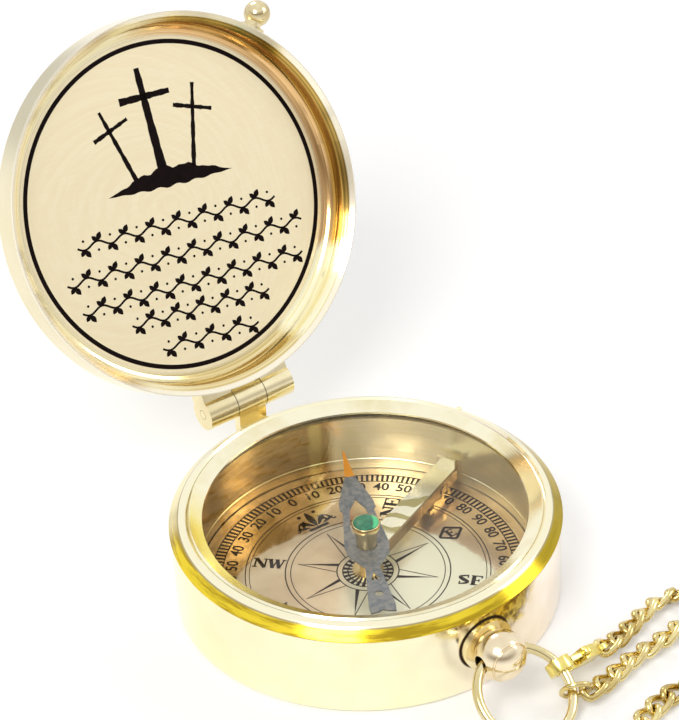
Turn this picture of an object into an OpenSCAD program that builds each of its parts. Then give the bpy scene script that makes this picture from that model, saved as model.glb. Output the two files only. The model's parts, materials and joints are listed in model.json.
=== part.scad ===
// Pocket compass: a turned brass case with a glazed dial, a lid that stands open on its hinge,
// a floating needle with its lifting lever, a bow ring on a ball knob, and a loop of chain with a clasp.
// The origin is the middle of the flat base. +Y points to the hinge, -Y to the bow knob, +Z up.

/* [Case] */
// Largest diameter of the case, across the edge under the bevel
case_d = 75; // [70:0.5:84]
// Height of the case up to its shoulder
case_h = 19.8; // [19:0.1:23.6]
// Thickness of the case wall
case_wall = 5; // [4.6:0.1:6]
// Thickness of the case floor
case_floor = 2.4; // [1.6:0.1:3]
// How much smaller the foot's radius is than the edge's
foot_taper = 0.5; // [0.4:0.05:0.8]
// Rounding of the foot
foot_round = 0.6; // [0.3:0.05:0.9]
// Width of the bevel on the rim
bevel_w = 2.1; // [1.9:0.05:2.4]
// Height of the bevel on the rim
bevel_h = 1.9; // [1.6:0.05:2.2]
// Step by which the edge stands out from the wall
edge_lip = 0.25; // [0.1:0.05:0.35]
// Rise of the shoulder from the bevel to the groove
shoulder_h = 0.5; // [0.3:0.05:0.7]
// Width of the shoulder between the bevel and the groove
shoulder_w = 1; // [0.8:0.05:1.1]
// Depth of the turned line inside the wall
wall_line = 0.15; // [0.1:0.05:0.25]

/* [Glass] */
// Width of the ledge that carries the glass
seat_w = 1.45; // [1.3:0.05:1.6]
// Thickness of the glass
glass_t = 1.8; // [1.4:0.1:2.2]
// Thickness of the gasket under the glass
gasket_t = 0.4; // [0.3:0.05:0.6]
// Thickness of the bezel ring at its outer edge
bezel_t = 1.7; // [1.4:0.05:2]
// Thickness of the bezel ring at the glass opening
bezel_edge_t = 0.4; // [0.3:0.05:0.6]
// How far the bezel ring covers the inside of the wall
bezel_lip = 1.4; // [1:0.1:2]

/* [Dial] */
// Thickness of the dial plate
dial_t = 1.2; // [0.8:0.1:1.6]
// Diameter of the foot of the pivot post
post_foot_d = 6; // [4.4:0.1:6.6]
// Thickness of the foot of the pivot post
post_foot_t = 0.8; // [0.5:0.1:1]
// Diameter of the pivot post
post_d = 3; // [2.4:0.1:3.4]

/* [Needle] */
// Height of the needle's underside above the dial
needle_up = 6.2; // [6:0.1:6.8]
// Thickness of the needle's blade
needle_t = 0.35; // [0.25:0.05:0.5]
// Gap between the needle's tip and the wall
needle_gap = 2.5; // [2:0.1:4]
// Length of the needle's tail from the pivot
tail_l = 20.5; // [17:0.5:24]
// Direction of the needle's tip, clockwise from the hinge
needle_turn = 27; // [0:1:60]
// Diameter of the brass cap on the needle
cap_d = 4; // [3.6:0.1:4.6]
// Diameter of the cup that holds the jewel
jewel_cup_d = 5.4; // [5:0.1:6]

/* [Lifter] */
// Direction of the lifting lever, clockwise from the hinge
lever_turn = 67; // [60:1:90]
// Width of the lifting lever
lever_w = 4.6; // [4:0.1:5.2]
// Thickness of the lever's sheet
lever_t = 0.5; // [0.4:0.05:0.6]
// Depth of the flange along the lever's front edge
lever_flange = 1.9; // [1.6:0.1:2.2]
// Distance of the lever's pivot from the inside of the wall
lever_pivot_in = 7.5; // [6.5:0.1:8.5]
// Travel of the push pin that works the lever
pin_travel = 0.5; // [0.4:0.05:0.55]
// Diameter of the push pin
push_pin_d = 1.2; // [1:0.1:1.3]

/* [Lid] */
// Angle between the open lid and the closed one
open_angle = 118; // [100:1:120]
// Height of the lid from its rim to its top
lid_h = 7.1; // [6.6:0.1:8]
// Thickness of the lid's top
lid_top_t = 0.8; // [0.6:0.1:1.2]
// Thickness of the lid's wall
lid_wall = 1.95; // [1.8:0.05:2]
// Gap between the closed lid's rim and the case's bevel
lid_gap = 0.25; // [0.2:0.05:0.4]
// Radius of the hollow corner inside the lid
lid_cove = 2.4; // [1.6:0.1:3]
// Diameter of the ball on the lid
lid_ball_d = 5.3; // [4.6:0.1:6]
// Direction of the lid's ball, from the bow knob towards the right
lid_ball_turn = 45; // [35:1:60]

/* [Hinge] */
// Length of the hinge barrel
barrel_l = 19.6; // [17:0.2:22]
// Diameter of the hinge barrel
barrel_d = 6.5; // [6:0.1:6.9]
// Width of the case's middle knuckle
knuckle_w = 6.5; // [5.6:0.1:7.6]
// Diameter of the hinge pin
hinge_pin_d = 1.9; // [1.6:0.1:2.2]
// Distance of the hinge pin behind the case's edge
hinge_back = 2.9; // [2.9:0.05:3.2]
// Height of the hinge pin above the case's shoulder
hinge_rise = 2.25; // [2.1:0.05:2.6]

/* [Bow] */
// Height of the bow knob's middle
bow_z = 10.45; // [9.8:0.05:11.4]
// Diameter of the bow knob
knob_d = 9.8; // [9:0.1:10.4]
// Diameter of the collar behind the knob
collar_d = 10.6; // [9.4:0.1:12]
// Thickness of the collar where it shows
collar_t = 0.9; // [0.6:0.1:1.2]
// Diameter of the bow ring, measured at the middle of its wire
ring_d = 18.5; // [17.6:0.1:20.4]
// Diameter of the bow ring's wire
ring_wire = 1.9; // [1.6:0.1:2.1]

/* [Chain] */
// Diameter of the links' wire
link_wire = 1.1; // [1:0.05:1.2]
// Outer length of a link
link_l = 7; // [6.8:0.1:7.4]
// Outer width of a link
link_w = 4.4; // [4.2:0.1:4.6]
// Slack between two links
link_slack = 0.45; // [0.35:0.05:0.5]

/* [Clasp] */
// Distance from the clasp's eye to the end of its jaw
clasp_l = 12.2; // [11:0.2:14]
// Thickness of the clasp
clasp_t = 2.4; // [2:0.1:2.8]
// Outer width of the clasp's hook
clasp_w = 5.2; // [5:0.1:5.8]
// Thickness of the clasp's gate
gate_t = 1; // [0.8:0.05:1.2]

/* [Hidden] */
$fn = 96;
cut = 1;
fit_gap = 0.05;
touch_gap = 0.03;

edge_r = case_d / 2;
edge_z = case_h - shoulder_h - bevel_h;
bevel_top_r = edge_r - bevel_w;
foot_r = edge_r - foot_taper;
inner_r = edge_r - case_wall;
seat_r = inner_r + seat_w;
groove_r = bevel_top_r - shoulder_w;
bezel_r = seat_r - fit_gap;
bezel_in_r = inner_r - bezel_lip;
groove_depth = seat_w / 4;
seat_z = case_h - bezel_t - glass_t - gasket_t;
glass_z = seat_z + gasket_t;
bezel_z = glass_z + glass_t;
dial_z = case_floor + dial_t;
bevel_slope = bevel_h / bevel_w;
bevel_long = norm([bevel_h, bevel_w]);
wall_line_z = dial_z + (seat_z - dial_z) / 5;

needle_z = dial_z + needle_up;
needle_r = inner_r - needle_gap;
stud_d = post_d * 2 / 3;
post_gap = (cap_d - post_d) / 4;
point_d = post_d * 0.4;
jewel_room = 2.2;
jewel_wall = 0.2;
cup_h = 1.3;
cup_z = glass_z - jewel_room + jewel_wall;
bearing_h = 1;
bearing_z = glass_z - jewel_room - bearing_h;
point_top = bearing_z + bearing_h / 2;

lift_room = 1.4;
lever_r = inner_r - lever_pivot_in;
lever_top = needle_z - lift_room;
lever_under = lever_top - lever_t;
rivet_d = 1;
rivet_z = lever_under - lever_flange / 2;
push_pin_r = edge_r - bevel_w * 0.76;
tip_reach = push_pin_r - lever_r;
lever_tilt = atan(pin_travel / tip_reach);
lever_ear_l = 5;
bracket_t = 0.45;
bracket_gap = 0.15;
screw_x = lever_ear_l * 0.63;
screw_d = 0.9;
slot_w = push_pin_d * 2.4;
tip_past = push_pin_d * 0.35;
slot_past = tip_past + 4 * fit_gap;

lid_round = 0.5;
lid_out_r = edge_r - lid_round / 5;
lid_in_r = lid_out_r - lid_wall;
lid_rise = lid_gap * bevel_long / bevel_w;
rim_flat = 0.2;
rim_z = edge_z + lid_rise + (edge_r - lid_out_r + rim_flat) * bevel_slope;
rim_in_z = edge_z + lid_rise + (edge_r - lid_in_r) * bevel_slope;
lid_top = rim_z + lid_h;
lid_floor = lid_top - lid_top_t;
ball_z = rim_z + lid_h * 0.48;
ball_neck_d = lid_ball_d * 0.64;

hinge_y = edge_r + hinge_back;
hinge_z = case_h + hinge_rise;
barrel_r = barrel_d / 2;
scallop_gap = 0.3;
scallop_r = barrel_r + scallop_gap;
knuckle_gap = 0.15;
leaf_t = 1.8;
leaf_back = 0.1;
leaf_low = case_h * 0.45;

knob_r = knob_d / 2;
bow_y = edge_r + knob_r * 0.88;
ring_r = ring_d / 2;
ring_offset = (ring_r - sqrt(ring_r * ring_r - knob_r * knob_r)) / 2;
ring_hole_r = ring_wire / 2 + ring_offset + 2 * fit_gap;
floor_gap = 0.05;
bow_hang = asin((bow_z - ring_wire / 2 - floor_gap) / (2 * ring_r - ring_offset));
collar_front = edge_r + collar_t;
shank_d = knob_d * 0.3;
shank_in = case_wall * 0.6;

link_bend = (link_w - link_wire) / 2;
link_straight = link_l - link_w;
link_pitch = link_l - 2 * link_wire - link_slack;
link_roll = 45;

// A point of the bow ring's wire, at an angle from the knob.
function ring_point(a) = let (along = ring_r - ring_offset - ring_r * cos(a))
  [ring_r * sin(a), -bow_y - along * cos(bow_hang), bow_z - along * sin(bow_hang)];

// Things on the lid are drawn with the lid closed, and turned about the hinge pin.
module on_open_lid() {
  translate([0, hinge_y, hinge_z])
    rotate([-open_angle, 0, 0])
      translate([0, -hinge_y, -hinge_z])
        children();
}

// Radial direction, clockwise from the hinge.
module towards(turn) {
  rotate([0, 0, 90 - turn]) children();
}

module rod(d, length) {
  rotate([0, 90, 0]) cylinder(d = d, h = length, center = true);
}

module case_outline() {
  polygon([
    [0, 0], [foot_r - foot_round, 0], [foot_r, foot_round],
    [edge_r - edge_lip, edge_z - 2 * edge_lip], [edge_r, edge_z - edge_lip], [edge_r, edge_z],
    [bevel_top_r, case_h - shoulder_h], [groove_r, case_h],
    [seat_r, case_h - groove_depth], [seat_r, seat_z], [inner_r, seat_z],
    [inner_r, wall_line_z + wall_line], [inner_r + wall_line, wall_line_z],
    [inner_r, wall_line_z - wall_line], [inner_r, case_floor], [0, case_floor]
  ]);
}

module case_cup() {
  color("#D8B25A") difference() {
    rotate_extrude() case_outline();
    translate([0, 0, -cut]) cylinder(d = stud_d, h = case_floor + 2 * cut);
    towards(lever_turn) {
      slot_low = lever_under - pin_travel - lever_t;
      translate([0, -slot_w / 2, slot_low])
        cube([push_pin_r + slot_past, slot_w, lever_top + lever_t - slot_low]);
      translate([push_pin_r, 0, lever_under]) cylinder(d = push_pin_d + 2 * fit_gap, h = case_h);
    }
    translate([0, -edge_r + shank_in, bow_z]) rotate([90, 0, 0])
      cylinder(d = shank_d + 2 * touch_gap, h = case_wall);
  }
}

module dial_plate() {
  color("#E9DDB4") translate([0, 0, case_floor]) difference() {
    cylinder(r = inner_r - 4 * fit_gap, h = dial_t);
    translate([0, 0, -cut]) cylinder(d = stud_d, h = dial_t + 2 * cut);
  }
}

module glass_gasket() {
  color("#5A4A2A") translate([0, 0, seat_z]) difference() {
    cylinder(r = bezel_r - 4 * fit_gap, h = gasket_t);
    translate([0, 0, -cut]) cylinder(r = inner_r + 2 * fit_gap, h = gasket_t + 2 * cut);
  }
}

module glass() {
  color("#DDF2F2", 0.3) translate([0, 0, glass_z]) cylinder(r = bezel_r - 4 * fit_gap, h = glass_t);
}

module bezel_ring() {
  color("#EAD38C") rotate_extrude() polygon([
    [bezel_in_r, bezel_z], [bezel_r, bezel_z], [bezel_r, case_h - groove_depth],
    [bezel_r - groove_depth, case_h], [bezel_in_r, bezel_z + bezel_edge_t]
  ]);
}

module pivot_post() {
  post_top = needle_z - lift_room / 4;
  color("#C9A24A") {
    difference() {
      union() {
        cylinder(d = stud_d - 2 * touch_gap, h = dial_z + post_foot_t);
        translate([0, 0, dial_z]) cylinder(d = post_foot_d, h = post_foot_t);
        translate([0, 0, dial_z]) cylinder(d = post_d, h = post_top - dial_z);
      }
      translate([0, 0, dial_z + post_foot_t]) cylinder(d = point_d, h = needle_z);
    }
  }
}

module pivot_point() {
  cone_h = point_d * 1.6;
  color("#8C8C90") {
    translate([0, 0, dial_z + post_foot_t])
      cylinder(d = point_d - 2 * touch_gap, h = point_top - cone_h - dial_z - post_foot_t);
    translate([0, 0, point_top - cone_h])
      cylinder(d1 = point_d - 2 * touch_gap, d2 = point_d / 8, h = cone_h);
  }
}

// The blade points along +Y before it is turned. Widths are half-widths, as shares of the needle's length.
needle_outline_shares = [
  [0.005, 1], [0.032, 0.72], [0.07, 0.6], [0.112, 0.45], [0.118, 0.38], [0.1, 0.36],
  [0.13, 0.12], [0.145, 0], [0.13, -0.1], [0.048, -0.23]
];
tail_outline_shares = [[0.06, -0.55], [0.085, -0.9], [0.08, -1], [0.03, -0.985], [0, -0.96]];
window_shares = [[0, 0.48], [0.05, 0.38], [0.078, 0.2], [0.072, 0.12]];

module needle_blade() {
  half = concat(
    [for (p = needle_outline_shares) [p[0] * needle_r, p[1] * needle_r]],
    [for (p = tail_outline_shares) [p[0] * needle_r, p[1] * tail_l]]
  );
  mirrored = [for (i = [len(half) - 2:-1:0]) [-half[i][0], half[i][1]]];
  window = [for (p = window_shares) p * needle_r];
  window_back = [for (i = [len(window) - 1:-1:1]) [-window[i][0], window[i][1]]];
  color("#6F7A82") rotate([0, 0, -needle_turn]) translate([0, 0, needle_z])
    linear_extrude(needle_t) difference() {
    polygon(concat(half, mirrored));
    difference() {
      polygon(concat(window, window_back));
      circle(r = cap_d * 0.95);
    }
    circle(d = cap_d);
    translate([0, -tail_l * 0.73]) circle(r = tail_l * 0.04);
    polygon([[0, -tail_l * 0.42], [tail_l * 0.05, -tail_l * 0.53], [-tail_l * 0.05, -tail_l * 0.53]]);
  }
}

module needle_cap() {
  skirt = 0.7;
  color("#D9B45C") difference() {
    union() {
      translate([0, 0, needle_z - skirt]) cylinder(d = cap_d - 2 * touch_gap, h = cup_z - needle_z + skirt);
      translate([0, 0, needle_z + needle_t]) cylinder(d = cap_d * 1.3, h = skirt);
      translate([0, 0, cup_z - skirt]) cylinder(d1 = cap_d - 2 * touch_gap, d2 = jewel_cup_d, h = skirt);
      translate([0, 0, cup_z]) cylinder(d = jewel_cup_d, h = cup_h);
    }
    translate([0, 0, needle_z - cut - skirt])
      cylinder(d = post_d + 2 * post_gap, h = bearing_z - needle_z + cut + skirt);
    translate([0, 0, bearing_z]) cylinder(d = post_d, h = bearing_h);
    translate([0, 0, cup_z + jewel_wall]) cylinder(d = jewel_cup_d - 2 * jewel_wall, h = cup_h);
  }
}

module needle_bearing() {
  color("#B33A4A") translate([0, 0, bearing_z]) difference() {
    cylinder(d = post_d - 2 * touch_gap, h = bearing_h);
    translate([0, 0, -touch_gap])
      cylinder(d1 = point_d * 2, d2 = point_d / 4, h = bearing_h / 2 + 2 * touch_gap);
  }
}

module needle_jewel() {
  stone_r = jewel_cup_d / 2 - jewel_wall - touch_gap;
  color("#2F9E6A") translate([0, 0, cup_z + jewel_wall]) {
    cylinder(r = stone_r, h = cup_h - jewel_wall);
    translate([0, 0, cup_h - jewel_wall]) cylinder(r1 = stone_r, r2 = stone_r * 0.6, h = jewel_wall);
  }
}

module at_lever() {
  towards(lever_turn) translate([lever_r, 0, 0]) children();
}

module lifter_lever() {
  eye_r = post_d / 2 + lift_room / 2;
  eye_wall = 1.1;
  inner_x = -lever_r + eye_r;
  tip_w = push_pin_d * 1.8;
  tab_h = 2.2;
  tab_x = inner_r - lever_r - 4 * lever_t;
  flange_h = rivet_z + rivet_d * 1.2;
  color("#CDBB7E") at_lever() difference() {
    union() {
      translate([inner_x, -lever_w / 2, lever_under]) cube([tab_x - inner_x + lever_t, lever_w, lever_t]);
      translate([-lever_r, 0, lever_under]) cylinder(r = eye_r + eye_wall, h = lever_t);
      translate([tab_x, -tip_w / 2, lever_under]) cube([tip_reach + tip_past - tab_x, tip_w, lever_t]);
      translate([tab_x, -lever_w / 2, lever_under]) cube([lever_t, lever_w, tab_h]);
      translate([inner_x + 2 * eye_wall, -lever_w / 2, lever_under - lever_flange])
        cube([tab_x - inner_x - 2 * eye_wall, lever_t, lever_flange + lever_t / 2]);
      translate([-lever_ear_l / 2, lever_w / 2 - lever_t, lever_under - lever_flange])
        cube([lever_ear_l, lever_t, lever_flange + lever_t / 2]);
    }
    translate([-lever_r, 0, lever_under - cut]) cylinder(r = eye_r, h = lever_t + 2 * cut);
    translate([0, 0, rivet_z]) rotate([90, 0, 0])
      cylinder(d = rivet_d + 2 * fit_gap, h = lever_w + cut, center = true);
  }
}

module lifter_bracket() {
  half_w = lever_w / 2 - lever_t - bracket_gap;
  top = lever_under - 2 * bracket_gap;
  base_l = lever_ear_l * 1.6;
  color("#A88A45") at_lever() difference() {
    union() {
      translate([-base_l / 2, -half_w, dial_z]) cube([base_l, 2 * half_w, bracket_t]);
      for (side = [-1, 1])
        translate([-lever_ear_l / 2, side * (half_w - bracket_t / 2) - bracket_t / 2, dial_z])
          cube([lever_ear_l, bracket_t, top - dial_z]);
    }
    translate([0, 0, rivet_z]) rotate([90, 0, 0]) cylinder(d = rivet_d, h = lever_w + cut, center = true);
    for (side = [-1, 1])
      translate([side * screw_x, 0, dial_z - cut]) cylinder(d = screw_d, h = bracket_t + 2 * cut);
  }
}

module lifter_rivet() {
  head_t = 0.25;
  color("#8C7A4A") at_lever() translate([0, 0, rivet_z]) {
    rotate([90, 0, 0]) cylinder(d = rivet_d - 2 * touch_gap / 3, h = lever_w + 2 * fit_gap, center = true);
    for (side = [-1, 1])
      translate([0, side * (lever_w + 2 * fit_gap + head_t) / 2, 0])
        rotate([90, 0, 0]) cylinder(d = rivet_d * 1.7, h = head_t, center = true);
  }
}

module bracket_screws() {
  head_t = 0.4;
  color("#B89A55") at_lever() for (side = [-1, 1]) translate([side * screw_x, 0, dial_z]) {
    cylinder(d = screw_d - 2 * touch_gap, h = bracket_t + head_t / 2);
    translate([0, 0, bracket_t]) cylinder(d = screw_d * 1.6, h = head_t);
  }
}

// A bent leaf between the dial and the lever's outer arm.
module lifter_spring() {
  leaf_w = lever_w / 3;
  leaf_s = 0.2;
  start = lever_ear_l * 0.82;
  reach = inner_r - lever_r - start - leaf_s * 3;
  rise = lever_under - dial_z;
  color("#B9A15C") at_lever() translate([start, leaf_w / 2, dial_z]) rotate([90, 0, 0])
    linear_extrude(leaf_w) polygon([
    [0, 0], [reach, 0], [reach, leaf_s], [leaf_s * 2, leaf_s * 1.6],
    [reach * 0.8, rise], [reach * 0.8 - leaf_s * 2, rise], [0, leaf_s * 1.6]
  ]);
}

module push_pin() {
  bevel_at_pin = edge_z + (edge_r - push_pin_r) * bevel_slope;
  centre_drop = (push_pin_d / 2 + fit_gap - lid_gap) * bevel_long / bevel_w;
  crown_z = bevel_at_pin - centre_drop + pin_travel;
  foot = lever_top + fit_gap;
  color("#B8B8BC") towards(lever_turn) translate([push_pin_r, 0, 0]) {
    translate([0, 0, foot]) cylinder(d = push_pin_d, h = crown_z - foot);
    translate([0, 0, crown_z]) sphere(d = push_pin_d);
  }
}

module case_hinge_leaf() {
  leaf_w = knuckle_w - 2 * knuckle_gap;
  leaf_y = edge_r + leaf_back;
  color("#C79A3E") difference() {
    union() {
      translate([0, hinge_y, hinge_z]) rod(barrel_d, knuckle_w);
      translate([-leaf_w / 2, foot_r - leaf_t, leaf_low])
        cube([leaf_w, leaf_y + leaf_t - foot_r + leaf_t, edge_z - leaf_low]);
      translate([-leaf_w / 2, leaf_y, leaf_low]) cube([leaf_w, leaf_t, hinge_z - leaf_low]);
    }
    cylinder(r = edge_r + touch_gap, h = edge_z + cut);
    translate([0, hinge_y, hinge_z]) rod(hinge_pin_d, barrel_l);
  }
}

module hinge_pin() {
  color("#B08A3C") translate([0, hinge_y, hinge_z]) rod(hinge_pin_d - 2 * touch_gap, barrel_l);
}

module lid_profile() {
  cove_r = lid_in_r - lid_cove;
  polygon(concat(
    [[0, lid_floor], [0, lid_top], [lid_out_r - lid_round, lid_top], [lid_out_r, lid_top - lid_round],
      [lid_out_r, rim_z], [lid_out_r - rim_flat, rim_z], [lid_in_r, rim_in_z]],
    [for (a = [0:15:90]) [cove_r + lid_cove * cos(a), lid_floor - lid_cove + lid_cove * sin(a)]]
  ));
}

module lid_shell() {
  color("#E3C46E") on_open_lid() difference() {
    rotate_extrude() lid_profile();
    translate([0, hinge_y, hinge_z]) rod(2 * scallop_r, knuckle_w + 4 * knuckle_gap);
    towards(180 - lid_ball_turn) translate([lid_out_r - lid_wall * 0.8, 0, ball_z])
      rotate([0, 90, 0]) cylinder(d = ball_neck_d / 2, h = lid_wall);
  }
}

module lid_hinge_leaf() {
  side_l = (barrel_l - knuckle_w) / 2 - knuckle_gap;
  leaf_h = barrel_d * 0.68;
  color("#D2A748") on_open_lid() for (side = [-1, 1])
    translate([side * ((knuckle_w + side_l) / 2 + knuckle_gap), 0, 0]) difference() {
      union() {
        translate([0, hinge_y, hinge_z]) rod(barrel_d, side_l);
        translate([-side_l / 2, lid_in_r, hinge_z - leaf_h / 2]) cube([side_l, hinge_y - lid_in_r, leaf_h]);
      }
      translate([0, hinge_y, hinge_z]) rod(hinge_pin_d + 2 * fit_gap, barrel_l);
      translate([-side * ((knuckle_w + side_l) / 2 + knuckle_gap), 0, 0])
        cylinder(r = lid_out_r + touch_gap, h = lid_top + cut);
    }
}

module lid_ball() {
  ball_r = lid_ball_d / 2;
  ball_at = lid_out_r + ball_r * 1.45;
  flange_t = lid_ball_d * 0.15;
  color("#C98F3A") on_open_lid() towards(180 - lid_ball_turn) translate([0, 0, ball_z]) {
    translate([ball_at, 0, 0]) sphere(r = ball_r);
    translate([lid_out_r + flange_t / 2, 0, 0]) rotate([0, 90, 0])
      cylinder(d = ball_neck_d, h = ball_at - lid_out_r - flange_t);
    difference() {
      translate([lid_out_r - flange_t, 0, 0]) rotate([0, 90, 0]) cylinder(d = lid_ball_d, h = 2 * flange_t);
      translate([0, 0, -lid_ball_d]) cylinder(r = lid_out_r + touch_gap, h = 2 * lid_ball_d);
    }
    translate([lid_out_r - lid_wall * 0.75, 0, 0]) rotate([0, 90, 0])
      cylinder(d = ball_neck_d / 2 - 2 * touch_gap, h = lid_wall);
  }
}

module outwards() {
  translate([0, 0, bow_z]) rotate([90, 0, 0]) children();
}

module bow_collar() {
  color("#B98A3A") difference() {
    outwards() difference() {
      translate([0, 0, foot_r - collar_t]) cylinder(d = collar_d, h = collar_front - foot_r + collar_t);
      cylinder(d = shank_d + 2 * touch_gap, h = collar_front + cut);
    }
    rotate_extrude() polygon([
      [0, -cut], [foot_r + touch_gap, -cut], [foot_r + touch_gap, foot_round],
      [edge_r - edge_lip + touch_gap, edge_z - 2 * edge_lip], [edge_r + touch_gap, edge_z - edge_lip],
      [edge_r + touch_gap, case_h], [0, case_h]
    ]);
  }
}

module bow_knob() {
  groove_at = bow_y + knob_r * 0.6;
  color("#DDB96A") difference() {
    outwards() {
      translate([0, 0, edge_r - shank_in + fit_gap]) cylinder(d = shank_d, h = bow_y - edge_r + shank_in);
      difference() {
        translate([0, 0, bow_y]) sphere(d = knob_d);
        cylinder(d = 2 * knob_d, h = collar_front + fit_gap);
        translate([0, 0, groove_at]) rotate_extrude() translate([knob_r * 0.8, 0])
          circle(r = knob_r * 0.05, $fn = 24);
      }
    }
    translate([0, -bow_y, bow_z]) rod(2 * ring_hole_r, 2 * knob_d);
  }
}

module bow_ring() {
  color("#D6C27A") translate([0, -bow_y, bow_z]) rotate([bow_hang, 0, 0])
    translate([0, ring_offset - ring_r, 0]) rotate_extrude() translate([ring_r, 0]) circle(d = ring_wire);
}

// The clasp hooks the bow ring. Its x runs from its eye to the end of its jaw, and its y to the gate's side.
clasp_grip = 80;
clasp_turn = [55, -17, 192];
hook_wall = 1.1;
jaw_r = clasp_w / 2 - hook_wall;
jaw_l = clasp_l * 0.3;
gate_x = clasp_l * 0.5;
gate_tip = clasp_l * 0.92;
gate_gap = 0.12;
gate_pivot = [clasp_l * 0.54, clasp_w / 2 - hook_wall * 1.05];
eye_r = 1.8;
eye_hole_r = 1;
eye_t = 1.1;
clasp_pin_d = 0.7;
slot_gap = 0.1;
gate_low = jaw_r - hook_wall * 0.45;
gate_corner_x = clasp_l - jaw_l - sqrt(jaw_r * jaw_r - gate_low * gate_low);
heel_r = norm([gate_corner_x - gate_pivot[0], gate_low - gate_pivot[1]]) + slot_gap;
nose_x = gate_pivot[0] + norm([gate_tip - gate_pivot[0], clasp_w / 2 - gate_pivot[1]]) + slot_gap;
grip_gap = 0.5;
wire_at = clasp_l + jaw_r - ring_wire / 2 - grip_gap;

module at_clasp() {
  translate(ring_point(clasp_grip)) rotate(clasp_turn) translate([-wire_at, 0, 0]) children();
}

module clasp_outline() {
  translate([clasp_l, 0]) circle(d = clasp_w);
  translate([clasp_l * 0.5, -clasp_w / 2]) square([clasp_l * 0.5, clasp_w]);
  polygon([[eye_r * 0.6, -eye_r * 0.8], [clasp_l * 0.5, -clasp_w / 2], [clasp_l * 0.5, clasp_w / 2],
    [clasp_l * 0.42, clasp_w / 2], [eye_r * 0.6, eye_r * 0.8]]);
}

module jaw_outline() {
  translate([clasp_l, 0]) circle(r = jaw_r);
  translate([clasp_l - jaw_l, 0]) circle(r = jaw_r);
  translate([clasp_l - jaw_l, -jaw_r]) square([jaw_l, 2 * jaw_r]);
}

module gate_window(gap) {
  translate([gate_x - gap, gate_low]) square([gate_tip + 2 * gap - gate_x, clasp_w]);
}

module clasp_body() {
  color("#E2CF74") at_clasp() difference() {
    union() {
      translate([0, 0, -clasp_t / 2]) linear_extrude(clasp_t) difference() {
        clasp_outline();
        jaw_outline();
      }
      translate([0, 0, -eye_t / 2]) cylinder(r = eye_r, h = eye_t);
    }
    translate([0, 0, -clasp_t]) cylinder(r = eye_hole_r, h = 2 * clasp_t);
    translate([0, 0, -eye_t * 2.5]) cylinder(r = eye_r, h = eye_t * 2);
    translate([0, 0, eye_t / 2]) cylinder(r = eye_r, h = eye_t * 2);
    translate([gate_pivot[0] + clasp_pin_d, gate_low, -clasp_t])
      cube([nose_x - gate_pivot[0] - clasp_pin_d, clasp_w, 2 * clasp_t]);
    translate([0, 0, -gate_t / 2 - slot_gap]) linear_extrude(gate_t + 2 * slot_gap) gate_window(gate_gap);
    translate([gate_pivot[0], gate_pivot[1], -gate_t / 2 - slot_gap])
      cylinder(r = heel_r, h = gate_t + 2 * slot_gap);
    translate([gate_pivot[0], gate_pivot[1], -clasp_t]) cylinder(d = clasp_pin_d, h = 2 * clasp_t);
  }
}

module clasp_gate() {
  trigger_r = 0.9;
  color("#F0DC82") at_clasp() difference() {
    union() {
      translate([0, 0, -gate_t / 2]) linear_extrude(gate_t) intersection() {
        gate_window(0);
        difference() {
          clasp_outline();
          jaw_outline();
        }
      }
      translate([gate_x + trigger_r, clasp_w / 2 + trigger_r / 2, -gate_t / 2])
        cylinder(r = trigger_r, h = gate_t);
    }
    translate([gate_pivot[0], gate_pivot[1], -clasp_t])
      cylinder(d = clasp_pin_d + 2 * fit_gap, h = 2 * clasp_t);
    translate([gate_pivot[0], gate_pivot[1], 0]) cylinder(d = clasp_pin_d * 2, h = clasp_t);
  }
}

module clasp_rivet() {
  color("#B8963F") at_clasp() translate([gate_pivot[0], gate_pivot[1], -clasp_t / 2])
    cylinder(d = clasp_pin_d - 2 * touch_gap / 3, h = clasp_t);
}

module clasp_spring() {
  spring_wire = 0.22;
  color("#9A9A9E") at_clasp() translate([gate_pivot[0], gate_pivot[1], gate_t / 4])
    rotate_extrude() translate([clasp_pin_d * 0.75, 0]) circle(d = spring_wire, $fn = 24);
}

// The route of the chain on the floor, through hand-chosen points. Its height is that of the links' middle.
route_in = [
  [21, -45.1, 3], [25, -44.3, 2.2], [28.5, -43.2, 1.85], [32, -42, 1.85], [36, -40.9, 1.85],
  [40, -40.4, 1.85], [44.5, -41.3, 1.85], [49, -43.3, 1.85], [53.6, -44.9, 1.85]
];
coil_centre = [66, -61];
coil_start = 115;
coil_turn = 480;
coil_step = 20;
coil_out_r = 18;
coil_in_r = 12;
coil_z = 1.85;
route_coil = [for (a = [0:coil_step:coil_turn])
  let (r = coil_out_r + (coil_in_r - coil_out_r) * a / coil_turn, at = coil_start - a)
  [coil_centre[0] + r * cos(at), coil_centre[1] + r * sin(at), coil_z]];
route_out = [
  [76.9, -66, 2.6], [74.8, -69.8, 4], [71.2, -72.8, 5.6], [67, -75, 6.4], [62.4, -77.1, 6.5],
  [57.4, -79.2, 5.5], [52, -81.2, 3.5], [46.5, -82.9, 2.1], [40.5, -84.4, 1.85], [34, -85.8, 1.85],
  [27, -86.4, 1.85], [19.5, -85.6, 1.85], [12.4, -82.8, 1.85], [7.6, -77.6, 1.85], [7.2, -71, 1.85],
  [11.2, -66.4, 1.85], [16.6, -64, 1.85], [21.8, -62.4, 1.85], [27.5, -62.3, 1.85], [33, -63.6, 1.85],
  [38.2, -65.2, 1.85], [43.4, -64.9, 1.85], [46.9, -61.6, 1.85], [48, -56.8, 1.85], [46.8, -52, 1.85],
  [43.4, -48.9, 1.85], [38.6, -48.4, 1.85], [34.2, -49, 1.85], [30, -49.5, 1.85], [26, -49.8, 1.85],
  [21.5, -50.8, 1.85], [17, -51.9, 2], [13.9, -52.8, 2.6], [10.9, -53.1, 3.3]
];
route = concat(route_in, route_coil, route_out);
route_parts = 6;

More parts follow.
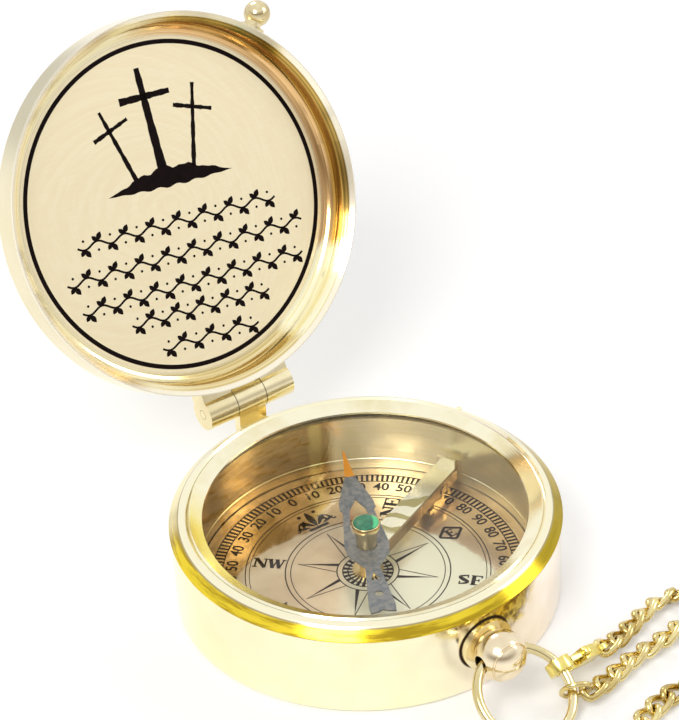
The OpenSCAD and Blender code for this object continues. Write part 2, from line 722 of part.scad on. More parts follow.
// A smooth curve through the points of the route.
function between(a, b, c, d, t) =
  0.5 * (2 * b + (c - a) * t + (2 * a - 5 * b + 4 * c - d) * t * t + (3 * b - a - 3 * c + d) * t * t * t);
route_last = len(route) - 1;
smooth = [for (i = [0:route_last]) if (i == route_last) route[i] else for (k = [0:route_parts - 1])
  between(route[max(i - 1, 0)], route[i], route[i + 1], route[min(i + 2, route_last)], k / route_parts)];
steps = [for (i = [0:len(smooth) - 2]) norm(smooth[i + 1] - smooth[i])];
function sums(i = 0, so_far = 0, out = []) =
  i == len(steps) ? concat(out, [so_far]) : sums(i + 1, so_far + steps[i], concat(out, [so_far]));
far = sums();
function segment(s, i = 0) = i >= len(steps) - 1 || far[i + 1] > s ? i : segment(s, i + 1);
function on_route(s) = let (i = segment(s))
  smooth[i] + (smooth[i + 1] - smooth[i]) * (s - far[i]) / steps[i];
links = round(far[len(far) - 1] / link_pitch);
real_pitch = far[len(far) - 1] / links;
part_shares = [0, 0.075, 0.75, 0.83, 1];
part_ends = [for (share = part_shares) round(links * share)];

module link() {
  for (end = [-1, 1]) {
    translate([end * link_straight / 2, 0, 0]) rotate([0, 0, -90 * end])
      rotate_extrude(angle = 180) translate([link_bend, 0]) circle(d = link_wire, $fn = 24);
    translate([0, end * link_bend, 0]) rotate([0, 90, 0])
      cylinder(d = link_wire, h = link_straight, center = true, $fn = 24);
  }
}

module link_at(i) {
  s = (i + 0.5) * real_pitch;
  ahead = on_route(s + link_pitch / 3) - on_route(s - link_pitch / 3);
  translate(on_route(s))
    rotate([0, -atan2(ahead[2], norm([ahead[0], ahead[1]])), atan2(ahead[1], ahead[0])])
      rotate([i % 2 == 0 ? link_roll : -link_roll, 0, 0]) link();
}

module chain_part(k) {
  color("#D9C070") for (i = [part_ends[k]:part_ends[k + 1] - 1]) link_at(i);
}

module chain_clasp_side() {
  chain_part(0);
}

module chain_loop() {
  chain_part(1);
}

module chain_corner() {
  chain_part(2);
}

module chain_ring_side() {
  chain_part(3);
}

end_ring_grip = 112;
end_ring_turn = [118, 0, -24];
end_ring_wire = 1;
end_ring_gap = 0.56;

module chain_end_ring() {
  ring_in = (ring_wire + link_wire + end_ring_wire + 3 * end_ring_gap) / 2;
  color("#D6C27A") translate(ring_point(end_ring_grip)) rotate(end_ring_turn)
    translate([ring_in - (ring_wire + end_ring_wire) / 2 - end_ring_gap, 0, 0])
      rotate_extrude() translate([ring_in, 0]) circle(d = end_ring_wire, $fn = 32);
}

case_cup();
dial_plate();
glass_gasket();
glass();
bezel_ring();
pivot_post();
pivot_point();
needle_blade();
needle_cap();
needle_bearing();
needle_jewel();
lifter_lever();
lifter_bracket();
lifter_rivet();
bracket_screws();
lifter_spring();
push_pin();
case_hinge_leaf();
hinge_pin();
lid_shell();
lid_hinge_leaf();
lid_ball();
bow_collar();
bow_knob();
bow_ring();
clasp_body();
clasp_gate();
clasp_rivet();
clasp_spring();
chain_end_ring();
chain_clasp_side();
chain_ring_side();
chain_corner();
chain_loop();
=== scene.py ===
import json
import math

import bmesh
import bpy
import numpy as np
from mathutils import Matrix, Vector

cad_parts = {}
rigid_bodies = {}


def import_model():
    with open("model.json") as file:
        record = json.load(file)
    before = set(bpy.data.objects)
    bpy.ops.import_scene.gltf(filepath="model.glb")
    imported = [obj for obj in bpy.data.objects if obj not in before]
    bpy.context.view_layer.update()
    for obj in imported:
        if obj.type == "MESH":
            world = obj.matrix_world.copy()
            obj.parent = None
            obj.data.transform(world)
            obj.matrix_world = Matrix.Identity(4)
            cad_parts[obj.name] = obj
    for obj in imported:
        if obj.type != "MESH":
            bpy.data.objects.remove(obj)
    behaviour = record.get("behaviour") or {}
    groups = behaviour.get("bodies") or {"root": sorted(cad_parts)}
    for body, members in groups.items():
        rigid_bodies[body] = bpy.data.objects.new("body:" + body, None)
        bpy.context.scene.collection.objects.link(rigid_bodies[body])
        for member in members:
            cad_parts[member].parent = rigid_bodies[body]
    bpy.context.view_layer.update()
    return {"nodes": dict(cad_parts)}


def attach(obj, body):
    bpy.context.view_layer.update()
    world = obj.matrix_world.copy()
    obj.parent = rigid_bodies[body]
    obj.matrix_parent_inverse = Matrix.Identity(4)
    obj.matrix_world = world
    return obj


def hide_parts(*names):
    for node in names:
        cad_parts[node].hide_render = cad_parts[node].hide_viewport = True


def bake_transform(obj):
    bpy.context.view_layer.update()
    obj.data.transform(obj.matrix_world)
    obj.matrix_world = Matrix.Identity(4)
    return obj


for left_over in list(bpy.data.objects):
    bpy.data.objects.remove(left_over)

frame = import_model()
nodes = frame["nodes"]
MM = 0.001

# Main measures of the compass, in millimetres, and its turns.
DIAL_Z = 3.6
NEEDLE_TURN = math.radians(27)
DIAL_TURN = math.radians(1.7)
LEVER_TURN = math.radians(23)
HINGE = np.array([0.0, 40.4, 22.05])
OPEN = math.radians(118)
LID_FLOOR = 24.3085
BOW_Z, COLLAR_R = 10.45, 5.3
PRINT_LIFT = 0.02
# The picture's rightward direction on the ground: tones of the case and the dial change along it.
EAST_X, EAST_Y = 0.812, -0.582

# The studio.
WHITE = (1.0, 1.0, 1.0)
FLOOR_HALF = 4000
CAMERA_PLACE = (-298.20, -435.95, 433.17)
FOCAL_PIXELS, PHOTO_WIDTH, SENSOR_MM = 3531.0, 679.0, 36.0


# Shapes.
def grid_faces(rows, columns, loop_rows=False, loop_columns=False):
    """Quads of a grid of points. A looped direction joins its last points to its first."""
    last_row, last_column = rows - (not loop_rows), columns - (not loop_columns)
    i, j = np.meshgrid(np.arange(last_row), np.arange(last_column), indexing="ij")
    i2, j2 = (i + 1) % rows, (j + 1) % columns
    corners = [i * columns + j, i * columns + j2, i2 * columns + j2, i2 * columns + j]
    return np.stack(corners, -1).reshape(-1, 4)


def make_piece(name, points, faces, finish, body=None, smooth=True):
    """A mesh from points in millimetres, in the row frame, and a list of faces."""
    mesh = bpy.data.meshes.new(name)
    mesh.from_pydata((np.asarray(points, float) * MM).tolist(), [], [list(map(int, f)) for f in faces])
    mesh.polygons.foreach_set("use_smooth", np.full(len(mesh.polygons), smooth))
    mesh.materials.append(finish)
    mesh.update()
    piece = bpy.data.objects.new(name, mesh)
    bpy.context.scene.collection.objects.link(piece)
    if body:
        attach(piece, body)
    return piece


def turned(profile, steps, closed):
    """Turns a profile of (r, z) pairs about the Z axis: x = r sin a, y = r cos a. A closed profile joins its ends."""
    r, z = np.asarray(profile, float).T
    a = np.linspace(0, 2 * np.pi, steps, endpoint=False)
    points = np.stack([r[:, None] * np.sin(a), r[:, None] * np.cos(a), np.repeat(z[:, None], steps, 1)], -1)
    return points.reshape(-1, 3), grid_faces(len(r), steps, closed, True)


def open_lid(points):
    """Points of the closed lid, turned about the hinge pin to where the lid stands."""
    p = np.asarray(points, float) - HINGE
    c, s = math.cos(OPEN), math.sin(OPEN)
    return np.stack([p[:, 0], p[:, 1] * c + p[:, 2] * s, -p[:, 1] * s + p[:, 2] * c], -1) + HINGE


def polar(angle):
    """Two unit vectors on the dial for an angle from north, clockwise: outwards, and to the right of that."""
    return np.array([math.sin(angle), math.cos(angle)]), np.array([math.cos(angle), -math.sin(angle)])


def rotation(turn):
    """The matrix that turns rows of (x, y) anticlockwise by an angle in radians."""
    c, s = math.cos(turn), math.sin(turn)
    return np.array([[c, s], [-s, c]])


class Ink:
    """Flat shapes gathered in a plane: each is a list of corners, turned so that all face the same way."""

    def __init__(self):
        self.points, self.faces, self.count = [], [], 0

    def add(self, points, faces):
        """Adds faces by the corners of a list of points. One whose signed area is negative is reversed."""
        points = np.asarray(points, float)
        for f in faces:
            x, y = points[list(f)].T
            area = np.dot(x, np.roll(y, -1)) - np.dot(y, np.roll(x, -1))
            f = list(f) if area > 0 else list(f)[::-1]
            self.faces.append([k + self.count for k in f])
        self.points.append(points)
        self.count += len(points)

    def ring(self, r0, r1, steps=240):
        """The flat ring between two radii."""
        a = np.linspace(0, 2 * np.pi, steps, endpoint=False)
        wave = np.stack([np.sin(a), np.cos(a)], -1)
        self.add(np.concatenate([wave * r0, wave * r1]), grid_faces(2, steps, loop_columns=True))

    def spokes(self, angles, r0, r1, w0, w1):
        """Radial marks from r0 to r1, w0 wide at the start and w1 at the end."""
        for a in angles:
            out, side = polar(a)
            start, half0, end, half1 = out * r0, side * w0 / 2, out * r1, side * w1 / 2
            self.add([start - half0, end - half1, end + half1, start + half0], [(0, 1, 2, 3)])

    def stroke(self, line, width):
        """A band of the given width, or widths, along a line of points."""
        line = np.asarray(line, float)
        along = np.gradient(line, axis=0)
        along /= np.linalg.norm(along, axis=1)[:, None]
        side = np.stack([-along[:, 1], along[:, 0]], -1) * (np.broadcast_to(width, len(line)) / 2)[:, None]
        self.add(np.concatenate([line - side, line + side]), grid_faces(2, len(line)))

    def dot(self, centre, r, steps=12):
        """A round dot."""
        a = np.linspace(0, 2 * np.pi, steps, endpoint=False)
        self.add(np.stack([r * np.cos(a), r * np.sin(a)], -1) + centre, [tuple(range(steps))])

    def leaf(self, foot, long, short, turn, steps=12):
        """A pointed leaf: its half-width is short times the sine of the way along it."""
        t = np.linspace(0, 1, steps)
        w = short * np.sin(np.pi * t)
        x = np.concatenate([t, t[-2:0:-1]]) * long
        y = np.concatenate([w, -w[-2:0:-1]])
        self.add(np.stack([x, y], -1) @ rotation(turn) + foot, [tuple(range(len(x)))])

    def mark(self, text, size, r, a):
        """A printed figure at radius r and angle a, its top outwards."""
        p, f = figure(text, size)
        out, side = polar(a)
        self.add(out * r + p[:, :1] * side + p[:, 1:] * out, f)

    def xyz(self, z):
        """All its points, at one height."""
        p = np.concatenate(self.points)
        return np.column_stack([p, np.full(len(p), z)])


# Straight strokes of capitals one unit high, each from (x0, y0) to (x1, y1) with a width, and the letter's width.
LETTERS = {
    "N": ([(0.08, 0, 0.08, 1, 0.13), (0.08, 1, 0.80, 0, 0.28), (0.80, 0, 0.80, 1, 0.13),
           (-0.10, 0.05, 0.26, 0.05, 0.11), (-0.12, 0.95, 0.18, 0.95, 0.11), (0.62, 0.95, 0.98, 0.95, 0.11)], 0.88),
    "E": ([(0.18, 0, 0.18, 1, 0.27), (0, 0.05, 0.76, 0.05, 0.11), (0, 0.95, 0.72, 0.95, 0.11),
           (0.18, 0.51, 0.54, 0.51, 0.10), (0.74, 0, 0.74, 0.27, 0.10), (0.70, 1, 0.70, 0.75, 0.10),
           (0.53, 0.38, 0.53, 0.64, 0.09)], 0.76),
    "W": ([(0.08, 1, 0.34, 0, 0.27), (0.34, 0, 0.60, 0.98, 0.12), (0.56, 1, 0.82, 0, 0.27), (0.82, 0, 1.08, 1, 0.12),
           (-0.10, 0.95, 0.26, 0.95, 0.11), (0.42, 0.95, 0.74, 0.95, 0.11), (0.92, 0.95, 1.22, 0.95, 0.11)], 1.14),
}
S_WIDTH, LETTER_GAP = 0.66, 0.14
# How much a printed figure is thickened, as a share of its size.
BOLD = 0.016


def serif_word(text):
    """The strokes of a word in capitals one unit high, each a line of points and its widths, and the word's width.
    An S is a line whose x is a sine of the way up it, thickest in its middle."""
    strokes, at = [], 0.0
    for letter in text:
        if letter == "S":
            s = np.linspace(-1.0, 1.0, 22)
            x, y = 0.33 - 0.27 * np.sin(s * 4.3), 0.5 + 0.45 * np.sin(s * 1.5)
            strokes.append((np.stack([at + x, y], -1), 0.12 + 0.17 * np.cos(s * 1.5) ** 2))
            for x0, y0, y1 in ((0.08, 0.0, 0.32), (0.58, 1.0, 0.70)):
                strokes.append((np.array([(at + x0, y0), (at + x0, y1)]), np.array([0.10, 0.10])))
            at += S_WIDTH + LETTER_GAP
            continue
        lines, wide = LETTERS[letter]
        for x0, y0, x1, y1, width in lines:
            strokes.append((np.array([(at + x0, y0), (at + x1, y1)]), np.array([width, width])))
        at += wide + LETTER_GAP
    return strokes, at - LETTER_GAP


def figure(text, size):
    """The flat shape of a figure, as corner points about its middle and triangles."""
    curve = bpy.data.curves.new("figure", "FONT")
    curve.body, curve.size, curve.align_x, curve.align_y = text, size, "CENTER", "CENTER"
    curve.resolution_u, curve.offset = 3, size * BOLD
    holder = bpy.data.objects.new("figure", curve)
    bpy.context.scene.collection.objects.link(holder)
    bpy.context.view_layer.update()
    mesh = holder.evaluated_get(bpy.context.evaluated_depsgraph_get()).to_mesh()
    mesh.calc_loop_triangles()
    p = np.array([v.co[:2] for v in mesh.vertices], float).reshape(-1, 2)
    f = [tuple(t.vertices) for t in mesh.loop_triangles]
    bpy.data.objects.remove(holder)
    bpy.data.curves.remove(curve)
    middle = (p.min(0) + p.max(0)) / 2
    return p - middle, f


# Finishes. These are the colour sockets of the Mix node, by their places.
MIX_SHARE, MIX_FIRST, MIX_SECOND, MIX_COLOUR = 0, 6, 7, 2


class Num:
    """A number that flows between nodes. Arithmetic on it adds Math nodes."""

    def __init__(self, paint, socket):
        self.paint, self.socket = paint, socket

    def _math(self, operation, *values):
        return Num(self.paint, self.paint.node("ShaderNodeMath", {"operation": operation}, *values).outputs[0])

    def __add__(self, o): return self._math("ADD", self, o)
    def __radd__(self, o): return self._math("ADD", o, self)
    def __sub__(self, o): return self._math("SUBTRACT", self, o)
    def __rsub__(self, o): return self._math("SUBTRACT", o, self)
    def __mul__(self, o): return self._math("MULTIPLY", self, o)
    def __truediv__(self, o): return self._math("DIVIDE", self, o)
    def sine(self): return self._math("SINE", self)
    def root(self): return self._math("SQRT", self)
    def size(self): return self._math("ABSOLUTE", self)
    def angle_to(self, o): return self._math("ARCTAN2", self, o)

    def step(self, low, high):
        """0 below low, 1 above high and smooth between them."""
        settings = {"interpolation_type": "SMOOTHSTEP"}
        return Num(self.paint, self.paint.node("ShaderNodeMapRange", settings, self, low, high, 0.0, 1.0).outputs[0])

    def between(self, low0, low1, high0, high1):
        """1 between two bounds and 0 outside, with a smooth step at each."""
        return self.step(low0, low1) * (1.0 - self.step(high0, high1))


class Paint:
    """A material, or the world's, while its nodes are being put together."""

    def __init__(self, name, sky=False):
        self.material = (bpy.data.worlds if sky else bpy.data.materials).new(name)
        self.material.use_nodes = True
        self.tree = self.material.node_tree
        self.tree.nodes.clear()
        self.out = self.tree.nodes.new("ShaderNodeOutputWorld" if sky else "ShaderNodeOutputMaterial")

    def put(self, socket, value):
        """Sets a socket to a number or colour, or links it."""
        if isinstance(value, Num):
            value = value.socket
        if isinstance(value, bpy.types.NodeSocket):
            self.tree.links.new(value, socket)
        else:
            socket.default_value = (*value, 1.0) if socket.type == "RGBA" and len(value) == 3 else value

    def node(self, kind, settings=None, *values, **named):
        """A node. Values go to its sockets in order, named ones to the sockets of those names."""
        node = self.tree.nodes.new(kind)
        for key, value in (settings or {}).items():
            setattr(node, key, value)
        for k, value in enumerate(values):
            self.put(node.inputs[k], value)
        for key, value in named.items():
            self.put(node.inputs[key.replace("_", " ")], value)
        return node

    def place(self):
        """Object coordinates in millimetres: the vector, and x, y, z as numbers."""
        where = self.node("ShaderNodeTexCoord").outputs["Object"]
        where = self.node("ShaderNodeVectorMath", {"operation": "SCALE"}, where, Scale=1000.0).outputs[0]
        parts = self.node("ShaderNodeSeparateXYZ", None, where)
        return where, *[Num(self, o) for o in parts.outputs]

    def noise(self, where, scale, detail=3.0, rough=0.5):
        """Cloudy noise from 0 to 1; the scale is in turns per millimetre."""
        node = self.node("ShaderNodeTexNoise", None, Vector=where, Scale=scale, Detail=detail, Roughness=rough)
        return Num(self, node.outputs[0])

    def squeeze(self, where, x, y, z):
        """The coordinates, each multiplied, so that a pattern is stretched."""
        return self.node("ShaderNodeVectorMath", {"operation": "MULTIPLY"}, where, (x, y, z)).outputs[0]

    def vector(self, x, y, z):
        """Three numbers as one vector."""
        return self.node("ShaderNodeCombineXYZ", None, x, y, z).outputs[0]

    def mix(self, share, first, second):
        """Two colours, mixed: the first times one less the share, and the second times the share."""
        node = self.node("ShaderNodeMix", {"data_type": "RGBA"})
        for socket, value in ((MIX_SHARE, share), (MIX_FIRST, first), (MIX_SECOND, second)):
            self.put(node.inputs[socket], value)
        return node.outputs[MIX_COLOUR]

    def bump(self, height, strength, distance):
        """The normal of a surface with that relief; the distance is in metres."""
        node = self.node("ShaderNodeBump", None, Strength=strength, Distance=distance)
        self.put(node.inputs["Height"], height)
        return node.outputs["Normal"]

    def tones(self, cloud, first, second, low=0.35, high=0.75):
        """Two colours that change where a noise passes from low to high."""
        return self.mix(cloud.step(low, high), first, second)

    def shell(self, **sockets):
        """The finished surface."""
        node = self.node("ShaderNodeBsdfPrincipled", None, **sockets)
        self.put(self.out.inputs[0], node.outputs[0])
        return self.material


def polished_brass(name, pale, deep, rough, wear):
    """Polished brass: cloudy colour between a pale and a deep tone, fine hair scratches and soft smudges."""
    p = Paint(name)
    where = p.place()[0]
    cloud = p.noise(where, 0.09, 3.0, 0.6)
    speck = p.noise(where, 1.3, 4.0, 0.7)
    hair = p.noise(p.squeeze(where, 7.0, 0.84, 3.5), 1.0, 2.0)
    colour = p.mix((cloud * 1.6 - 0.3 + (speck - 0.5) * 0.25).step(0.1, 0.9) * wear, pale, deep)
    return p.shell(Base_Color=colour, Metallic=1.0, Roughness=rough + cloud * 0.05 + hair * 0.04,
                   Normal=p.bump(hair * 0.5 + speck * 0.5, 0.10, 0.00002))


def case_finish():
    """The case: pale polished wall, pinker to the right, with brown-gold patches about the bow collar that are a
    painted reflection of the bow, and a near-black ring of painted shade in the gap round the collar; a yellow bead
    outside a cream shoulder, the bead's yellow front, darker to the right, being a painted reflection; brown-gold
    turned inside, with a painted lit zone and a painted highlight band."""
    p = Paint("case_brass")
    where, x, y, z = p.place()
    r = (x * x + y * y).root()
    east = x * EAST_X + y * EAST_Y
    cloud = p.noise(where, 0.07, 3.0, 0.6)
    streak = p.noise(p.vector(x * 0.05, y * 0.05, z * 6.0), 1.0, 3.0)

    # The wall.
    rightness = (east + (cloud - 0.5) * 10.0).step(6.0, 26.0)
    wall = p.mix(cloud.step(0.35, 0.75) * 0.5, (1.0, 0.96, 0.68), (0.95, 0.86, 0.52))
    wall = p.mix(rightness, wall, p.tones(cloud, (0.98, 0.87, 0.74), (0.88, 0.76, 0.58)))
    # Painted reflection of the bow: brown-gold patches on the front of the wall beside the collar.
    near = p.noise(p.vector(x * 0.5, z * 0.45, 0.0), 1.0, 3.0, 0.55)
    facing = 1.0 - y.step(-30.0, -25.0)
    bow_reflection = (x + (near - 0.5) * 6.0).step(-8.0, -6.0) * (1.0 - (x - z * 0.55 + (near - 0.5) * 9.0).step(1.5, 5.5))
    bow_reflection = bow_reflection * (z + x * 0.42 + (near - 0.5) * 5.0).step(13.2, 15.0) * facing
    wall = p.mix(bow_reflection, wall, p.tones(near, (0.78, 0.60, 0.14), (0.26, 0.16, 0.03), 0.42, 0.60))
    # Painted shade: a near-black ring on the wall in the gap round the bow collar.
    collar = (x * x + (z - BOW_Z) * (z - BOW_Z)).root()
    collar_gap_shade = (1.0 - (collar - COLLAR_R).step(0.25, 0.6)) * facing
    wall = p.mix(collar_gap_shade, wall, (0.03, 0.015, 0.006))

    # The shoulder, the bead and the dark line between them.
    top = z.step(17.0, 17.3) * r.step(33.9, 34.4)
    bead = top * r.step(35.70, 35.90)
    line = top * (1.0 - (r - 35.72).size().step(0.05, 0.20))
    # Painted reflection: the bead is mottled yellow at the front, darker to the right, and cream at the back.
    front = (y * -0.05 + (cloud - 0.5) * 0.6).step(-1.35, -0.55)
    patch = p.noise(p.vector(x / r * 3.4, y / r * 3.4, r * 1.1), 1.0, 3.0, 0.6)
    bead_reflection_yellow = p.tones(patch, (0.90, 0.68, 0.045), (0.46, 0.31, 0.02), 0.38, 0.62)
    bead_reflection_yellow = p.mix(east.step(15.0, 31.0) * 0.85, bead_reflection_yellow, (0.40, 0.29, 0.02))
    colour = p.mix(top, wall, (0.97, 0.91, 0.66))
    colour = p.mix(bead, colour, p.mix(front, (0.94, 0.84, 0.52), bead_reflection_yellow))
    colour = p.mix(line * 0.75, colour, (0.30, 0.22, 0.05))

    # The inside, olive with a painted lit zone and a painted highlight band: round_it is the angle from north,
    # clockwise.
    inside = (1.0 - r.step(33.2, 33.8)) * z.step(3.0, 3.6)
    round_it = x.angle_to(y)
    olive = p.tones(streak, (0.66, 0.51, 0.22), (0.48, 0.35, 0.13), 0.3, 0.7)
    # Painted highlight: a pale band down the inside wall at one angle.
    painted_highlight_band = 1.0 - (round_it - 0.31).size().step(0.02, 0.06)
    olive = p.mix(painted_highlight_band, olive, (0.84, 0.76, 0.34))
    # Painted light: a lit zone of the inside wall, paler and less metallic than the olive rest.
    lit = (round_it + (streak - 0.5) * 0.05).step(0.35, 0.44) * (1.0 - round_it.step(1.14, 1.22) * 0.3)
    pale = p.tones(streak, (1.0, 0.96, 0.70), (0.98, 0.87, 0.52), 0.3, 0.7)
    colour = p.mix(inside, colour, p.mix(lit, olive, pale))
    rings = (z * 9.0 + streak * 2.0).sine() * inside
    rough = 0.10 + cloud * 0.05 + inside * 0.10 + streak * 0.03
    return p.shell(Base_Color=colour, Metallic=1.0 - inside * lit * 0.5, Roughness=rough,
                   Normal=p.bump(rings * 0.4 + streak * 0.3, 0.12, 0.00004))


def bezel_finish():
    """The bezel: cream brass, yellow on its inner slope towards the left, with fine turned lines."""
    p = Paint("bezel_brass")
    where, x, y = p.place()[:3]
    r = (x * x + y * y).root()
    cloud = p.noise(where, 0.09, 3.0, 0.6)
    lines = (r * 14.0 + cloud * 2.0).sine()
    left = (x * -0.9 + y * -0.1 + (cloud - 0.5) * 8.0).step(14.0, 27.0) * (1.0 - r.step(33.2, 33.6))
    colour = p.tones(cloud, (0.98, 0.93, 0.70), (0.86, 0.76, 0.46))
    colour = p.mix(left, colour, (0.96, 0.80, 0.20))
    return p.shell(Base_Color=colour, Metallic=1.0, Roughness=0.10 + cloud * 0.05,
                   Normal=p.bump(lines, 0.05, 0.00002))


def lid_finish():
    """The lid: a satin floor brushed across, a turned wall that goes from cream to brown as painted reflection with one
    painted lit place, and a pale rim. The pattern lies in the frame of the closed lid: each point is turned back about
    the hinge pin by the angle of opening."""
    p = Paint("lid_brass")
    where, x, y, z = p.place()
    c, s = math.cos(OPEN), math.sin(OPEN)
    up, back = z - HINGE[2], y - HINGE[1]
    shut_y = back * c - up * s + HINGE[1]
    shut_z = back * s + up * c + HINGE[2]
    r = (x * x + shut_y * shut_y).root()
    cloud = p.noise(where, 0.05, 3.0, 0.6)
    drift = (cloud - 0.5) * 12.0

    # Where each part of the lid is.
    floor = (1.0 - r.step(32.6, 33.4)) * (1.0 - shut_z.step(24.45, 24.6))
    wall = r.between(32.7, 33.3, 36.25, 36.45) * shut_z.between(17.9, 18.1, 24.5, 24.8)
    rim = r.step(36.3, 36.5) * (1.0 - shut_z.step(18.6, 18.8))

    # The floor.
    brushed = p.noise(p.vector(x * 0.35, shut_y * 9.0, shut_z), 1.0, 3.0)
    arcs = p.noise(p.vector((r + x * 0.4) * 0.9, shut_y * 0.15, 0.0), 1.0, 4.0, 0.65)
    worn = brushed.step(0.2, 0.8) * 0.30 + arcs.step(0.35, 0.65) * 0.25
    satin = p.mix(worn, (1.0, 0.90, 0.645), (0.90, 0.75, 0.46))

    # The wall: cream, golden and brown by turns round it as painted reflection, with one painted lit place.
    lines = p.noise(p.vector(r * 3.2, shut_z * 1.6, x * 0.01), 1.0, 3.0, 0.6)
    tan, olive, cream, golden = [p.tones(lines, first, second, 0.38, 0.62) for first, second in (
        ((0.86, 0.56, 0.27), (0.66, 0.41, 0.17)), ((0.56, 0.38, 0.11), (0.32, 0.20, 0.04)),
        ((1.0, 0.93, 0.66), (0.92, 0.80, 0.46)), ((0.90, 0.76, 0.42), (0.66, 0.50, 0.20)))]
    brown = p.mix(r.step(34.9, 35.4), tan, olive)
    dark_reflection_side = (x * 0.86 - shut_y * 0.16 + drift).step(4.0, 17.0)
    pale_reflection_side = 1.0 - (x * 0.86 + shut_y * 0.25 + drift).step(-12.0, 3.0)
    lit = ((x * 0.643 + shut_y * 0.766) / r + (lines - 0.5) * 0.05).step(0.945, 0.972) * wall
    bright = p.mix(cloud.step(0.25, 0.8) * 0.55, (0.94, 0.86, 0.62), (0.80, 0.69, 0.42))
    bright = p.mix(wall, bright, p.mix(dark_reflection_side, p.mix(pale_reflection_side, golden, cream), brown))
    bright = p.mix(lit, bright, p.tones(lines, (1.0, 0.97, 0.72), (0.96, 0.86, 0.46), 0.45, 0.7))
    bright = p.mix(rim, bright, (1.0, 0.93, 0.75))

    rough = floor * (0.22 + brushed * 0.08) + 0.10 + cloud * 0.04
    soft = lit * 0.7 + wall * pale_reflection_side * 0.45 + floor * 0.35 + rim * 0.45
    turning = (r * 7.0 + cloud * 4.0).sine()
    return p.shell(Base_Color=p.mix(floor, bright, satin), Metallic=1.0 - soft, Roughness=rough,
                   Normal=p.bump(floor * brushed + (1.0 - floor) * turning * 0.15, 0.16, 0.00003))


def dial_finish():
    """The dial: silvered cream metal, sandy towards the left, and brown outside the circle that the light reaches."""
    p = Paint("dial_metal")
    where, x, y = p.place()[:3]
    cloud = p.noise(where, 0.12, 4.0, 0.6)
    brushed = p.noise(p.squeeze(where, 8.0, 0.7, 1.0), 1.0, 2.0)
    sandy = (x * -EAST_X + y * -EAST_Y + (cloud - 0.5) * 5.0).step(1.5, 6.5)
    silver = p.mix(cloud.step(0.3, 0.8) * 0.5, (1.0, 0.97, 0.75), (0.95, 0.87, 0.61))
    pale = p.mix(sandy, silver, p.tones(cloud, (0.90, 0.76, 0.56), (0.74, 0.58, 0.40), 0.3, 0.7))
    lamp_x, lamp_y = x + 8.4, y + 10.6
    away = (lamp_x * lamp_x + lamp_y * lamp_y).root() + (cloud - 0.5) * 3.0
    shaded = away.step(27.6, 28.6)
    # Painted shade: outside the lit circle the brown is darker towards the left and lighter on the right, where more
    # light falls.
    leftness = (x * -0.8 + y * 0.58 + (cloud - 0.5) * 8.0).step(4.0, 15.0)
    brown = p.mix(leftness, p.tones(cloud, (0.95, 0.77, 0.56), (0.75, 0.57, 0.38), 0.4, 0.6),
                  p.tones(cloud, (0.78, 0.54, 0.30), (0.50, 0.33, 0.15), 0.4, 0.6))
    rough = 0.16 + brushed * 0.08 + cloud * 0.06
    return p.shell(Base_Color=p.mix(shaded, pale, brown), Metallic=0.35 + shaded * 0.5, Roughness=rough,
                   Normal=p.bump(brushed, 0.05, 0.00002))


def needle_finish():
    """The needle: mottled blue-grey satin paint and an orange tip."""
    p = Paint("needle_paint")
    where, x, y = p.place()[:3]
    along = x * math.sin(NEEDLE_TURN) + y * math.cos(NEEDLE_TURN)
    worn = p.noise(where, 0.8, 4.0, 0.65)
    grey = p.tones(worn, (0.13, 0.145, 0.165), (0.27, 0.26, 0.245), 0.35, 0.65)
    orange = p.mix(worn * 0.6, (0.90, 0.30, 0.02), (0.95, 0.46, 0.06))
    colour = p.mix((along + worn * 0.5).step(21.7, 22.0), grey, orange)
    return p.shell(Base_Color=colour, Metallic=0.2, Roughness=0.34 + worn * 0.12, Coat_Weight=0.25,
                   Coat_Roughness=0.15, Normal=p.bump(worn, 0.06, 0.00003))


def lever_finish():
    """The lever: pale polished sheet brass with long soft ripples and painted dark wavy reflections along its middle,
    and a brown flange on its right whose brown is painted shade.
    """
    p = Paint("lever_brass")
    x, y = p.place()[1:3]
    c, s = math.cos(LEVER_TURN), math.sin(LEVER_TURN)
    along = x * c + y * s
    across = x * -s + y * c
    drift = p.noise(p.vector(along * 0.10, across * 0.16, 0.0), 1.0, 1.0)
    # Painted reflection: dark wavy streaks along the middle of the lever, following its ripples.
    wave = (along * 1.15 + across * 0.9 + drift * 11.0).sine().step(0.15, 0.5)
    middle = along.between(6.0, 8.0, 20.0, 21.0)
    # Painted shade: the downturned flange is coloured brown.
    flange = 1.0 - across.step(-1.95, -1.75)
    colour = p.mix(wave * middle, (0.95, 0.89, 0.68), (0.47, 0.40, 0.16))
    colour = p.mix(flange, colour, (0.30, 0.20, 0.08))
    return p.shell(Base_Color=colour, Metallic=0.9, Roughness=0.24 + drift * 0.06,
                   Normal=p.bump(wave, 0.05, 0.00002))


def plain_finish(name, pale, deep, rough, metal=0.0, **more):
    """A plain material with a slightly uneven tone and gloss."""
    p = Paint(name)
    cloud = p.noise(p.place()[0], 0.8, 4.0, 0.6)
    return p.shell(Base_Color=p.tones(cloud, pale, deep, 0.3), Metallic=metal, Roughness=rough + cloud * 0.08,
                   Normal=p.bump(cloud, 0.08, 0.00002), **more)


